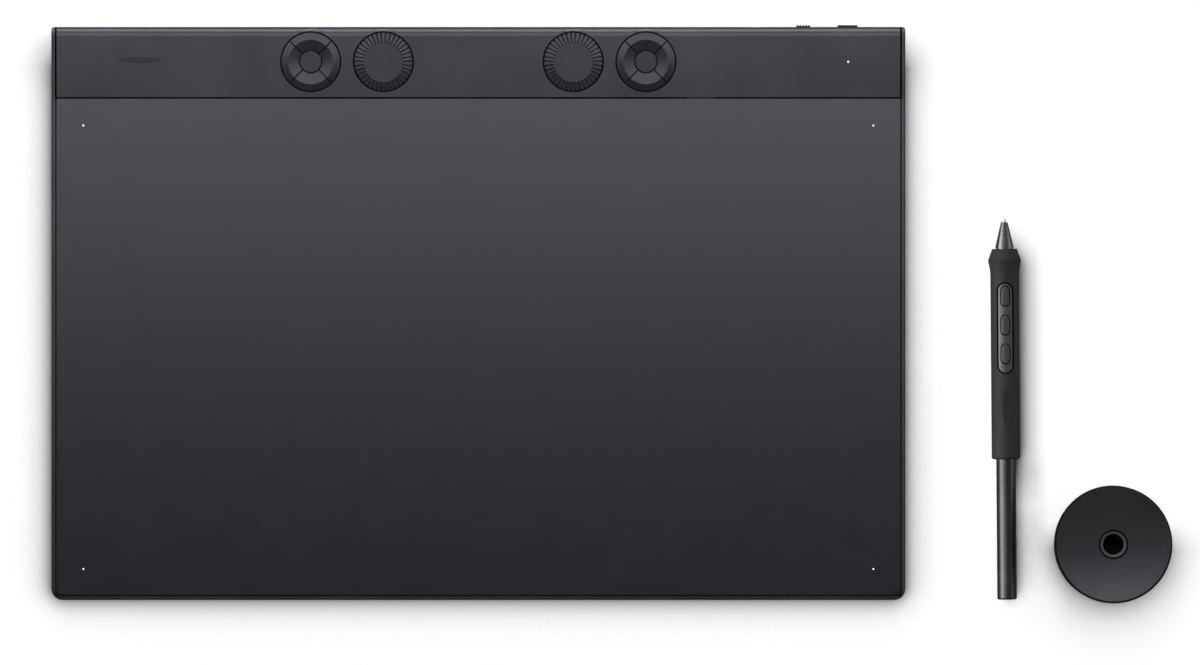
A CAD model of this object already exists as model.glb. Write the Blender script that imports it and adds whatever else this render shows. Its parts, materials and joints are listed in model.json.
import json
import math

import bpy
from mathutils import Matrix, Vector

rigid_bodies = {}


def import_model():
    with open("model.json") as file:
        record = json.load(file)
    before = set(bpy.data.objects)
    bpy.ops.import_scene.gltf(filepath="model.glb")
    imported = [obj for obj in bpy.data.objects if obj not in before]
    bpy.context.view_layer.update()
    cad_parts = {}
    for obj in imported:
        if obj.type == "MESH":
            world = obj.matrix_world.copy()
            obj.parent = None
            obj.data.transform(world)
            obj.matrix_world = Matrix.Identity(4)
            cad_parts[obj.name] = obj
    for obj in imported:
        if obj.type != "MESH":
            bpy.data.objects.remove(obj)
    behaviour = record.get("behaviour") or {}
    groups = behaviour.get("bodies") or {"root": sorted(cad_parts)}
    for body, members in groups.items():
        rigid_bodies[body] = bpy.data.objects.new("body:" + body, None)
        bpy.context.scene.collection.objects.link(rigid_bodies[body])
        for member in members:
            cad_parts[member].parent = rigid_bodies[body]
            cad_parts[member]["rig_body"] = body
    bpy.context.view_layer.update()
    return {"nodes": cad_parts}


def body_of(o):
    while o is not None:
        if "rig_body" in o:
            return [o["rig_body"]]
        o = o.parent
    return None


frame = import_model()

MM = 0.001
AMBIENT = 0.12
BARE = (0.0025, 0.0025, 0.003)
nodes = frame["nodes"]

# Places on the object, for the parts of its surfaces that the outer finish doesn't reach
SLOPE = math.radians(6.16)
BAR_FRONT = 0.0951
DECK = 0.0046
BAR_UP = Vector((0, -math.sin(SLOPE), math.cos(SLOPE)))
BAR_BACK = Vector((0, math.cos(SLOPE), math.sin(SLOPE)))
CONTROL_Y = 0.1111
CONTROL_Z = DECK + (CONTROL_Y - BAR_FRONT) * math.tan(SLOPE)
WELLS = tuple(Vector((x, CONTROL_Y, CONTROL_Z)) for x in (0.0419, 0.074))
KEYS = WELLS[1]
PEN_PITCH = math.radians(0.66)
PEN_YAW = math.radians(0.45)
PEN_TIP = Vector((0.2321, 0.0428, 0.00757))
PEN_AXIS = Vector(
    (
        math.sin(PEN_YAW) * math.cos(PEN_PITCH),
        -math.cos(PEN_YAW) * math.cos(PEN_PITCH),
        -math.sin(PEN_PITCH),
    )
)
STAND = Vector((0.2801, -0.1019, 0))
UP = Vector((0, 0, 1))

# How far the bare parts reach: radii, depths and heights in mm, boxes in metres
WELL_WALL_R = 13.58
WELL_SINK = 0.05
BAR_EDGE_SINK = 0.22
BAR_PAINTED = ((-0.18622, 0.09546, -1), (0.18622, 1, 1))
BAR_MARK_BOX = ((-0.16, 0.109, 0.004), (-0.139, 0.114, 0.01))
BAR_MARK_SINK = 0.12
TRAY_INSIDE = ((-0.18705, -0.12505, 0.001), (0.18705, 1, 1))
SKIRT_RISE = 0.1
KEY_SPLIT_HALF = 0.29
CENTER_KEY_R = 5.0
KEY_SKIRT_SINK = 0.3
GRIP_MARK_START = 25
GRIP_MARK_R = 6.25
SWITCH_PLATE_R = 5.75
PEN_BUTTON_R = 6.15
STAND_TOP_R = 25.2
STAND_WELL_R = 6.5
STAND_BASE_TOP = 4.0
SOCKET_BORE_R = 4.55
SOCKET_RIM = 15.0

# Scale and strength of the finishes' own variation: sizes in mm, factors of the plain value
CLOUD_MM = 28
GLOSS_MM = 9
GLOSS_CHANGE = 0.04
TURNED_CLOUD_MM = 15
TURNED_GRAIN_MM = 0.08
TURNED_STRETCH = 0.02
TURNED_TONE = (0.85, 1.12)
TURNED_GLOSS = (0.85, 1.15)
FROST_MM = 0.3
TRACK_SCALE = 220
TRACK_GAP = 0.03
TRACK_DEPTH_MM = 0.02
SOLDER_GLOSS_MM = 3

# ---------------------------------------------------------------- materials


class Finish:
    """A Principled material and short helpers for its node network, in object space."""

    def __init__(self, name):
        self.material = bpy.data.materials.new(name)
        self.material.use_nodes = True
        self.tree = self.material.node_tree
        self.shader = self.tree.nodes["Principled BSDF"]
        self.coords = self.tree.nodes.new("ShaderNodeTexCoord").outputs["Object"]

    def set(self, **values):
        for name, value in values.items():
            self.shader.inputs[name.replace("_", " ")].default_value = value

    def link(self, output, socket):
        self.tree.links.new(output, self.shader.inputs[socket])

    def operate(self, kind, operation, values, result):
        """Math or vector math node on outputs and plain values."""
        made = self.tree.nodes.new(kind)
        made.operation = operation
        for socket, value in zip(made.inputs, values):
            if isinstance(value, bpy.types.NodeSocket):
                self.tree.links.new(value, socket)
            else:
                socket.default_value = value
        return made.outputs[result]

    def number(self, operation, *values):
        return self.operate("ShaderNodeMath", operation, values, "Value")

    def vector(self, operation, *values):
        return self.operate("ShaderNodeVectorMath", operation, values, "Vector")

    def below(self, point, normal, depth_mm):
        """1 more than depth_mm below the plane through point."""
        away = self.vector("SUBTRACT", self.coords, point)
        height = self.operate("ShaderNodeVectorMath", "DOT_PRODUCT", (away, normal), "Value")
        return self.number("LESS_THAN", height, -depth_mm * MM)

    def within(self, point, axis, radius_mm, mirrored=False):
        """1 inside a cylinder, or inside it and its mirror image in the YZ plane."""
        where = self.vector("ABSOLUTE", self.coords) if mirrored else self.coords
        away = self.vector("SUBTRACT", where, point)
        across = self.vector("CROSS_PRODUCT", away, axis)
        reach = self.operate("ShaderNodeVectorMath", "LENGTH", (across,), "Value")
        return self.number("LESS_THAN", reach, radius_mm * MM)

    def in_box(self, low, high):
        """1 inside a box."""
        from_low = self.vector("SUBTRACT", self.coords, low)
        from_high = self.vector("SUBTRACT", high, self.coords)
        axes = self.tree.nodes.new("ShaderNodeSeparateXYZ")
        self.tree.links.new(self.vector("MINIMUM", from_low, from_high), axes.inputs[0])
        least = self.number("MINIMUM", axes.outputs[0], axes.outputs[1])
        return self.number("GREATER_THAN", self.number("MINIMUM", least, axes.outputs[2]), 0)

    def either(self, first, *others):
        for other in others:
            first = self.number("MAXIMUM", first, other)
        return first

    def ramp(self, axis, start, end):
        """0 before start and 1 after end along X or Y."""
        axes = self.tree.nodes.new("ShaderNodeSeparateXYZ")
        self.tree.links.new(self.coords, axes.inputs[0])
        return self.spread(axes.outputs[axis], 0, 1, start, end)

    def leave_bare(self, mask, colour=BARE):
        """Dark bare plastic where the mask is 1."""
        shown = self.shader.inputs["Base Color"].links[0].from_socket
        self.link(self.blend(mask, shown, colour), "Base Color")

    def dull(self, mask):
        """No gloss where the mask is 1."""
        gloss = self.shader.inputs["Roughness"].links[0].from_socket
        self.link(self.number("MAXIMUM", gloss, mask), "Roughness")

    def noise(self, size_mm, detail=2.0, stretch=(1, 1, 1), turn=(0, 0, 0)):
        """Noise whose features are about size_mm across."""
        place = self.tree.nodes.new("ShaderNodeMapping")
        place.inputs["Scale"].default_value = stretch
        place.inputs["Rotation"].default_value = turn
        self.tree.links.new(self.coords, place.inputs["Vector"])
        made = self.tree.nodes.new("ShaderNodeTexNoise")
        made.inputs["Scale"].default_value = 1 / (size_mm * MM)
        made.inputs["Detail"].default_value = detail
        self.tree.links.new(place.outputs["Vector"], made.inputs["Vector"])
        return made.outputs["Fac"]

    def spread(self, value, low, high, start=0.3, end=0.7):
        """Value carried from start..end to low..high."""
        made = self.tree.nodes.new("ShaderNodeMapRange")
        for name, number in (
            ("From Min", start),
            ("From Max", end),
            ("To Min", low),
            ("To Max", high),
        ):
            if isinstance(number, bpy.types.NodeSocket):
                self.tree.links.new(number, made.inputs[name])
            else:
                made.inputs[name].default_value = number
        self.tree.links.new(value, made.inputs["Value"])
        return made.outputs["Result"]

    def blend(self, factor, first, second):
        """Colour between two colours or outputs by factor."""
        made = self.tree.nodes.new("ShaderNodeMix")
        made.data_type = "RGBA"
        self.tree.links.new(factor, made.inputs["Factor"])
        for socket, colour in (("A", first), ("B", second)):
            target = [s for s in made.inputs if s.name == socket and s.type == "RGBA"][0]
            if isinstance(colour, tuple):
                target.default_value = (*colour, 1)
            else:
                self.tree.links.new(colour, target)
        return [s for s in made.outputs if s.type == "RGBA"][0]

    def bump(self, height, depth_mm, under=None):
        """Bump of that depth, on top of another bump if one is given."""
        made = self.tree.nodes.new("ShaderNodeBump")
        made.inputs["Distance"].default_value = depth_mm * MM
        made.inputs["Strength"].default_value = 1.0
        self.tree.links.new(height, made.inputs["Height"])
        if under:
            self.tree.links.new(under, made.inputs["Normal"])
        return made.outputs["Normal"]


def moulded(
    name,
    colour,
    rough=0.5,
    grain_mm=0.25,
    depth_mm=0.008,
    specular=0.3,
    tone=0.25,
    bare=None,
    mark=None,
    mark_colour=BARE,
):
    """Moulded or sprayed surface: fine grain, and faint cloudy changes in tone and gloss."""
    finish = Finish(name)
    darker = tuple(c * (1 - tone) for c in colour)
    lighter = tuple(c * (1 + tone) for c in colour)
    cloud = finish.spread(finish.noise(CLOUD_MM, 3), 0, 1)
    finish.link(finish.blend(cloud, darker, lighter), "Base Color")
    gloss = finish.noise(GLOSS_MM, 4)
    dullest = rough * (1 + GLOSS_CHANGE)
    finish.link(finish.spread(gloss, rough * (1 - GLOSS_CHANGE), dullest), "Roughness")
    finish.link(finish.bump(finish.noise(grain_mm, 3), depth_mm), "Normal")
    finish.set(Specular_IOR_Level=specular)
    if mark:
        finish.leave_bare(mark(finish), mark_colour)
    if bare:
        mask = bare(finish)
        finish.leave_bare(mask)
        finish.dull(mask)
    return finish.material


def turned_metal(name, colour, rough=0.32, line_mm=0.12, along=None, depth_mm=0.004):
    """Satin anodised metal with fine lines run round its axis."""
    finish = Finish(name)
    stretch = [TURNED_STRETCH] * 3
    stretch[along] = 1.0
    lines = finish.noise(line_mm, 2, tuple(stretch))
    cloud = finish.spread(finish.noise(TURNED_CLOUD_MM, 3), 0, 1)
    darker, lighter = (tuple(c * tone for c in colour) for tone in TURNED_TONE)
    finish.link(finish.blend(cloud, darker, lighter), "Base Color")
    finish.link(finish.spread(lines, *(rough * gloss for gloss in TURNED_GLOSS)), "Roughness")
    fine = finish.bump(finish.noise(TURNED_GRAIN_MM, 2), depth_mm / 2)
    finish.link(finish.bump(lines, depth_mm, fine), "Normal")
    finish.set(Metallic=1.0)
    return finish.material


def light_pipe(name, colour, strength):
    """Frosted light pipe with its light on."""
    finish = Finish(name)
    glow = finish.spread(finish.noise(FROST_MM, 2), 0.85, 1.0)
    finish.link(finish.blend(glow, (0.5, 0.52, 0.55), colour), "Emission Color")
    finish.set(Emission_Strength=strength, Roughness=0.3)
    finish.link(finish.blend(glow, (0.4, 0.4, 0.4), (0.8, 0.8, 0.8)), "Base Color")
    return finish.material


def circuit(name):
    """Solder mask over copper tracks."""
    finish = Finish(name)
    tracks = finish.tree.nodes.new("ShaderNodeTexBrick")
    tracks.inputs["Scale"].default_value = TRACK_SCALE
    tracks.inputs["Mortar Size"].default_value = TRACK_GAP
    finish.tree.links.new(finish.coords, tracks.inputs["Vector"])
    finish.link(
        finish.blend(tracks.outputs["Fac"], (0.008, 0.05, 0.025), (0.02, 0.12, 0.05)),
        "Base Color",
    )
    finish.link(finish.bump(tracks.outputs["Fac"], TRACK_DEPTH_MM), "Normal")
    finish.link(finish.spread(finish.noise(SOLDER_GLOSS_MM, 2), 0.25, 0.4), "Roughness")
    return finish.material


def bar_bare(finish):
    """Walls of the wells and the grooves round the bar."""
    wells = [finish.within(well, BAR_UP, WELL_WALL_R, mirrored=True) for well in WELLS]
    sunk = finish.below(KEYS, BAR_UP, WELL_SINK)
    painted = finish.in_box(*BAR_PAINTED)
    edges = finish.number("SUBTRACT", 1, painted)
    deep = finish.below(KEYS, BAR_UP, BAR_EDGE_SINK)
    return finish.either(
        finish.number("MULTIPLY", finish.either(*wells), sunk),
        finish.number("MULTIPLY", edges, deep),
    )


def bar_mark(finish):
    """Floor of the sunk mark on the bar."""
    mark = finish.in_box(*BAR_MARK_BOX)
    return finish.number("MULTIPLY", mark, finish.below(KEYS, BAR_UP, BAR_MARK_SINK))


def case_bare(finish):
    """Inside of the tray."""
    return finish.in_box(*TRAY_INSIDE)


def skirt_bare(finish):
    """Walls of the dials that face the wells across a gap."""
    return finish.below(KEYS, BAR_UP, -SKIRT_RISE)


def key_bare(finish):
    """Skirts of the keys and the walls of the gaps between them."""
    mirrored = finish.vector("ABSOLUTE", finish.coords)
    away = finish.vector("SUBTRACT", mirrored, KEYS)
    walls = []
    for side in (1, -1):
        across = (Vector((1, 0, 0)) + side * BAR_BACK).normalized()
        off = finish.operate("ShaderNodeVectorMath", "DOT_PRODUCT", (away, across), "Value")
        gap = KEY_SPLIT_HALF * MM
        walls.append(finish.number("LESS_THAN", finish.number("ABSOLUTE", off), gap))
    center_key = finish.within(KEYS, BAR_UP, CENTER_KEY_R, mirrored=True)
    outside = finish.number("SUBTRACT", 1, center_key)
    splits = finish.number("MULTIPLY", finish.either(*walls), outside)
    return finish.either(splits, finish.below(KEYS, BAR_UP, KEY_SKIRT_SINK))


def grip_mark(finish):
    """Floor of the sunk mark, and all else behind the flare that is under the grip's skin."""
    away = finish.vector("SUBTRACT", finish.coords, PEN_TIP)
    along = finish.operate("ShaderNodeVectorMath", "DOT_PRODUCT", (away, PEN_AXIS), "Value")
    behind = finish.number("GREATER_THAN", along, GRIP_MARK_START * MM)
    return finish.number("MULTIPLY", behind, finish.within(PEN_TIP, PEN_AXIS, GRIP_MARK_R))


def plate_bare(finish):
    """Walls of the switch plate's openings."""
    return finish.within(PEN_TIP, PEN_AXIS, SWITCH_PLATE_R)


def button_bare(finish):
    """Sides of the pen's buttons below their tops."""
    return finish.within(PEN_TIP, PEN_AXIS, PEN_BUTTON_R)


def stand_bare(finish):
    """Side wall, and the wall of the socket's well above the base."""
    side = finish.number("SUBTRACT", 1, finish.within(STAND, UP, STAND_TOP_R))
    base = finish.below(STAND + STAND_BASE_TOP * MM * UP, UP, 0.0)
    above = finish.number("SUBTRACT", 1, base)
    well = finish.number("MULTIPLY", above, finish.within(STAND, UP, STAND_WELL_R))
    return finish.either(side, well)


def socket_bare(finish):
    """Bore of the socket, and all of it below its rim."""
    bore = finish.within(STAND, UP, SOCKET_BORE_R)
    return finish.either(bore, finish.below(STAND + SOCKET_RIM * MM * UP, UP, 0.0))


MATERIALS = {
    "case": moulded("case_metal", (0.027, 0.027, 0.029), 0.45, 0.2, 0.006, 0.4, 0.25, case_bare),
    "bar": moulded(
        "bar_plastic",
        (0.022, 0.022, 0.024),
        0.34,
        0.22,
        0.006,
        0.35,
        bare=bar_bare,
        mark=bar_mark,
        mark_colour=(0.009, 0.009, 0.01),
    ),
    "control": moulded("control_plastic", (0.004, 0.004, 0.0045), 0.5, 0.22, 0.008, 0.1),
    "film": moulded("overlay_film", (0.0036, 0.0034, 0.0049), 0.4, 0.3, 0.006, 0.5, 0.05),
    "plate": moulded("backing_plate", (0.004, 0.004, 0.004), 0.5, 0.3, 0.005),
    "board": circuit("circuit_board"),
    "steel": turned_metal("shield_steel", (0.5, 0.5, 0.51), 0.35, 0.2, 0),
    "chip": moulded("chip_black", (0.015, 0.015, 0.016), 0.55),
    "foil": moulded("battery_foil", (0.35, 0.35, 0.36), 0.35, 1.5, 0.03, 0.6),
    "copper": turned_metal("copper_film", (0.75, 0.36, 0.18), 0.3, 0.2, 0),
    "socket": turned_metal("socket_steel", (0.55, 0.55, 0.56), 0.25, 0.1, 1),
    "lens": light_pipe("light_pipe", (1.0, 1.0, 1.0), 1.2),
    "dial": moulded(
        "dial_plastic", (0.016, 0.016, 0.018), 0.45, 0.2, 0.006, 0.35, 0.2, skirt_bare
    ),
    "key": moulded("key_plastic", (0.014, 0.014, 0.016), 0.42, 0.2, 0.006, 0.35, 0.2, key_bare),
    "brass": turned_metal("encoder_brass", (0.6, 0.45, 0.2), 0.3, 0.1, 2),
    "silicone": moulded("pad_silicone", (0.006, 0.006, 0.0065), 0.6),
    "rubber": moulded("foot_rubber", (0.012, 0.012, 0.012), 0.8, 0.5, 0.02, 0.2),
    "nib": moulded("nib_plastic", (0.85, 0.85, 0.85), 0.35, 0.15, 0.003, 0.5, 0.05),
    "nose": turned_metal("nose_metal", (0.3, 0.3, 0.305), 0.3, 0.12, 1),
    "ferrite": moulded("ferrite", (0.03, 0.03, 0.03), 0.6, 0.4, 0.02),
    "carrier": moulded("sensor_plastic", (0.003, 0.003, 0.003), 0.6, specular=0.15),
    "grip": moulded(
        "grip_rubber",
        (0.029, 0.029, 0.031),
        0.62,
        0.18,
        0.01,
        0.3,
        0.2,
        mark=grip_mark,
        mark_colour=(0.02, 0.02, 0.021),
    ),
    "switch": moulded(
        "switch_plastic", (0.06, 0.06, 0.063), 0.3, 0.2, 0.003, 0.9, 0.2, plate_bare
    ),
    "button": moulded(
        "button_plastic", (0.05, 0.05, 0.053), 0.3, 0.2, 0.003, 0.8, 0.2, button_bare
    ),
    "tail": turned_metal("tail_metal", (0.115, 0.115, 0.117), 0.36, 0.12, 1),
    "weight": turned_metal("weight_steel", (0.35, 0.35, 0.36), 0.35, 0.2, 2),
    "stand": moulded(
        "stand_plastic", (0.023, 0.023, 0.0245), 0.4, 0.22, 0.006, 0.4, 0.2, stand_bare
    ),
    "socket_body": moulded(
        "socket_plastic", (0.1, 0.1, 0.103), 0.35, 0.2, 0.004, 0.45, 0.2, socket_bare
    ),
    "tray": moulded("tray_plastic", (0.05, 0.05, 0.05), 0.5),
}

NODE_FINISH = {
    "rear_cover": "case",
    "bar_cover": "bar",
    "slide_knob": "control",
    "push_button": "control",
    "drawing_overlay": "film",
    "surface_plate": "plate",
    "sensor_board": "board",
    "main_board": "board",
    "pen_board": "board",
    "shield_sheet": "steel",
    "board_chips": "chip",
    "slide_switch": "chip",
    "push_switch": "chip",
    "pen_switches": "chip",
    "usb_tongue": "chip",
    "battery": "foil",
    "antenna": "copper",
    "flex_cable": "chip",
    "pen_coil": "copper",
    "usb_shell": "socket",
    "cover_screws": "socket",
    "marker_lenses": "lens",
    "status_lens": "lens",
    "dial_encoders": "brass",
    "key_pads": "silicone",
    "rubber_feet": "rubber",
    "stand_foot": "rubber",
    "pen_nib": "nib",
    "spare_nibs": "nib",
    "pen_cone": "nose",
    "pen_ferrite": "ferrite",
    "pen_sensor": "carrier",
    "pen_barrel": "carrier",
    "pen_grip": "grip",
    "pen_switch_plate": "switch",
    "pen_tail_shaft": "tail",
    "pen_balance_weight": "weight",
    "stand_weight": "weight",
    "stand_shell": "stand",
    "stand_base": "stand",
    "stand_socket": "socket_body",
    "nib_tray": "tray",
}
STARTS = (("dial_", "dial"), ("key_", "key"), ("pen_button_", "button"))

for name, thing in nodes.items():
    kind = NODE_FINISH.get(name)
    if kind is None:
        kind = [finish for start, finish in STARTS if name.startswith(start)][0]
    thing.data.materials.clear()
    thing.data.materials.append(MATERIALS[kind])

# ---------------------------------------------------------------- stage

FLOOR_R = 3.0
FLOOR_SPLIT_X = 0.213
FLOOR_FADE = (0.5, 1.2)
FLOOR_CLOUD_MM = 60
FLOOR_TONES = ((0.87, 0.87, 0.87), (0.89, 0.89, 0.89))
OPENNESS_SAMPLES = 12
TABLET_REACH_MM = 25
LOOSE_REACH_MM = 30
TABLET_SHADE_POWER = 0.6
TABLET_SHADE_LEAST = -0.21
FRONT_SHADE = 0.85

# How open the floor is where the shade is full, and where it ends
PEN_SHADE = (0.5, 0.93)
BETWEEN_SHADE = (0.38, 0.76)
STAND_SHADE = (0.344, 0.88)

# Where each shade fades in along X or Y, in metres: none at the first value, full at the second
SIDES_FROM_Y = (0.126, 0.108)
SIDES_FROM_X = (0.208, 0.2)
FRONT_TO_SIDES_Y = (-0.128, -0.122)
PEN_FROM_X = (0.2305, 0.2345)
PEN_FROM_Y = (0.043, 0.022)
BETWEEN_FROM_Y = (-0.07, -0.085)
PEN_TO_STAND_X = (0.25, 0.262)
STAND_FROM_X = (0.246, 0.252)
STAND_FROM_Y = (-0.092, -0.105)


def tablet_shade(finish, open_part):
    """Soft contact shade at the tablet's front and sides, from how open the floor is."""
    covered = finish.number("SUBTRACT", 1, open_part)
    hidden = finish.number("POWER", covered, TABLET_SHADE_POWER)
    shade = finish.spread(hidden, 1, TABLET_SHADE_LEAST, 0, 1)
    before_rear = finish.ramp(1, *SIDES_FROM_Y)
    sides = finish.number("MULTIPLY", before_rear, finish.ramp(0, *SIDES_FROM_X))
    front = finish.spread(finish.ramp(1, *FRONT_TO_SIDES_Y), FRONT_SHADE, 1, 0, 1)
    strength = finish.number("MULTIPLY", sides, front)
    return finish.spread(strength, 1, shade, 0, 1)


def loose_shade(finish, open_part):
    """The same at the pen's right and round the stand's front half."""
    pen_shade = finish.spread(open_part, 0, 1, *PEN_SHADE)
    between_shade = finish.spread(open_part, 0, 1, *BETWEEN_SHADE)
    stand_shade = finish.spread(open_part, 0, 1, *STAND_SHADE)
    between = finish.ramp(1, *BETWEEN_FROM_Y)
    pen_shade = finish.spread(between, pen_shade, between_shade, 0, 1)
    by_stand = finish.ramp(0, *PEN_TO_STAND_X)
    shade = finish.spread(by_stand, pen_shade, stand_shade, 0, 1)
    right_of_pen = finish.ramp(0, *PEN_FROM_X)
    at_pen = finish.number("MULTIPLY", right_of_pen, finish.ramp(1, *PEN_FROM_Y))
    at_stand = finish.ramp(1, *STAND_FROM_Y)
    strength = finish.spread(finish.ramp(0, *STAND_FROM_X), at_pen, at_stand, 0, 1)
    return finish.spread(strength, 1, shade, 0, 1)


def floor_paint(name, reach_mm, shade_of):
    """Pale paint with soft contact shade, blending into a white backdrop far from the object."""
    finish = Finish(name)
    tint = finish.blend(finish.noise(FLOOR_CLOUD_MM, 2), *FLOOR_TONES)
    openness = finish.tree.nodes.new("ShaderNodeAmbientOcclusion")
    openness.inputs["Distance"].default_value = reach_mm * MM
    openness.samples = OPENNESS_SAMPLES
    shade = shade_of(finish, openness.outputs["AO"])
    finish.link(finish.vector("MULTIPLY", tint, shade), "Base Color")
    finish.set(Roughness=0.9, Specular_IOR_Level=0.0)
    backdrop = finish.tree.nodes.new("ShaderNodeEmission")
    backdrop.inputs["Color"].default_value = (1, 1, 1, 1)
    reach = finish.operate("ShaderNodeVectorMath", "LENGTH", (finish.coords,), "Value")
    mix = finish.tree.nodes.new("ShaderNodeMixShader")
    output = finish.tree.nodes["Material Output"]
    finish.tree.links.new(finish.spread(reach, 0, 1, *FLOOR_FADE), mix.inputs["Fac"])
    finish.tree.links.new(finish.shader.outputs["BSDF"], mix.inputs[1])
    finish.tree.links.new(backdrop.outputs["Emission"], mix.inputs[2])
    finish.tree.links.new(mix.outputs["Shader"], output.inputs["Surface"])
    return finish.material


def stage_floor(name, x_from, x_to, paint):
    """Part of the plain floor between two values of x."""
    corners = [(x_from, -FLOOR_R), (x_to, -FLOOR_R), (x_to, FLOOR_R), (x_from, FLOOR_R)]
    mesh = bpy.data.meshes.new(name)
    mesh.from_pydata([(x, y, 0) for x, y in corners], [], [(0, 1, 2, 3)])
    mesh.materials.append(paint)
    floor = bpy.data.objects.new(name, mesh)
    bpy.context.scene.collection.objects.link(floor)
    floor.visible_glossy = False
    return floor


def group(name, things):
    """Collection, outside the scene, of the things that a light is linked to."""
    made = bpy.data.collections.new(name)
    for thing in things:
        made.objects.link(thing)
    return made


def area_light(name, place, aim, size, power, lit, blockers=None, colour=(1, 1, 1)):
    """Soft light on the things in lit, shadowed by the blockers or by everything."""
    data = bpy.data.lights.new(name, "AREA")
    data.color = colour
    data.shape = "RECTANGLE"
    data.size, data.size_y = size
    data.energy = power
    light = bpy.data.objects.new(name, data)
    bpy.context.scene.collection.objects.link(light)
    light.location = place
    light.rotation_euler = (Vector(aim) - Vector(place)).to_track_quat("-Z", "Y").to_euler()
    light.visible_camera = False
    light.light_linking.receiver_collection = lit
    if blockers:
        light.light_linking.blocker_collection = blockers


paint_left = floor_paint("floor_paint_left", TABLET_REACH_MM, tablet_shade)
paint_right = floor_paint("floor_paint_right", LOOSE_REACH_MM, loose_shade)
floor_left = stage_floor("floor_left", -FLOOR_R, FLOOR_SPLIT_X, paint_left)
floor_right = stage_floor("floor_right", FLOOR_SPLIT_X, FLOOR_R, paint_right)
pen_pieces = []
stand_pieces = []
tablet_pieces = []
for thing in nodes.values():
    body = body_of(thing)[0]
    if body.startswith("pen"):
        pen_pieces.append(thing)
    elif body.startswith("stand"):
        stand_pieces.append(thing)
    else:
        tablet_pieces.append(thing)
pen = group("pen_pieces", pen_pieces)
tablet = group("tablet_pieces", tablet_pieces)
tablet_and_stand = group("tablet_and_stand", tablet_pieces + stand_pieces)
floors = group("floors", [floor_left, floor_right])

world = bpy.data.worlds.new("studio")
bpy.context.scene.world = world
world.use_nodes = True
surround = world.node_tree.nodes["Background"]
surround.inputs["Color"].default_value = (1, 1, 1, 1)
surround.inputs["Strength"].default_value = AMBIENT
seen = world.node_tree.nodes.new("ShaderNodeBackground")
seen.inputs["Color"].default_value = (1, 1, 1, 1)
path = world.node_tree.nodes.new("ShaderNodeLightPath")
choose = world.node_tree.nodes.new("ShaderNodeMixShader")
world.node_tree.links.new(path.outputs["Is Camera Ray"], choose.inputs["Fac"])
world.node_tree.links.new(surround.outputs["Background"], choose.inputs[1])
world.node_tree.links.new(seen.outputs["Background"], choose.inputs[2])
world.node_tree.links.new(
    choose.outputs["Shader"], world.node_tree.nodes["World Output"].inputs["Surface"]
)

# Lights for the floor alone, which has its shade in its paint: name, place, power
FLOOR_LIGHT_SIZE = (1.8, 1.6)
FLOOR_LIGHTS = (
    ("around_left", (-2.2, 0.9, 1.3), 64),
    ("around_right", (2.2, 0.9, 1.3), 60),
    ("around_rear", (0.0, 2.4, 1.3), 35),
    ("around_front", (0.0, -2.4, 1.3), 26),
)
for name, place, power in FLOOR_LIGHTS:
    area_light(name, place, (0, 0, 0), FLOOR_LIGHT_SIZE, power, floors, floors)

# The object's lights, a little cool: a softbox over the rear, two lower strips behind it for the
# tablet, and panels round the pen. Each row has a name, a place, an aim for all but the pen's,
# a size, a power and what it lights.
PEN_AIM = (0.23, -0.04, 0)
COOL = (0.9, 0.885, 1.0)
COOLER_PEN = (0.95, 0.94, 1.0)
OBJECT_LIGHTS = (
    ("rear_softbox", (0.05, 0.235, 0.5), (0.05, 0.235, 0), (1.3, 0.37), 5.15, tablet_and_stand),
    ("rear_mid", (0.05, 0.8, 0.42), (0.05, 0.11, 0), (1.3, 0.3), 2.3, tablet),
    ("rear_low", (0.05, 1.25, 0.27), (0.05, 0, 0), (1.4, 0.4), 17, tablet),
)
PEN_LIGHTS = (
    ("pen_left", (-0.35, -0.03, 0.34), (0.7, 0.46), 3.7),
    ("pen_above", (-0.07, -0.03, 0.65), (0.7, 0.3), 0.7),
    ("pen_rear", (0.15, 0.9, 0.45), (0.6, 0.4), 4.5),
    ("pen_right", (0.83, -0.03, 0.17), (0.7, 0.36), 0.55),
)
for object_light in OBJECT_LIGHTS:
    area_light(*object_light, colour=COOL)
for name, place, size, power in PEN_LIGHTS:
    area_light(name, place, PEN_AIM, size, power, pen, pen, colour=COOLER_PEN)

bpy.context.scene.view_settings.view_transform = "Standard"

# ---------------------------------------------------------------- camera

VIEW_CENTRE = (0.0537, -0.0084)
VIEW_WIDTH = 0.5298
LENS = 600.0
SENSOR = 36.0
CLIP_END = 20

camera_data = bpy.data.cameras.new("camera")
camera_data.lens = LENS
camera_data.sensor_width = SENSOR
camera_data.clip_end = CLIP_END
camera = bpy.data.objects.new("camera", camera_data)
bpy.context.scene.collection.objects.link(camera)
camera.location = (*VIEW_CENTRE, DECK + VIEW_WIDTH / SENSOR * LENS)
bpy.context.scene.camera = camera
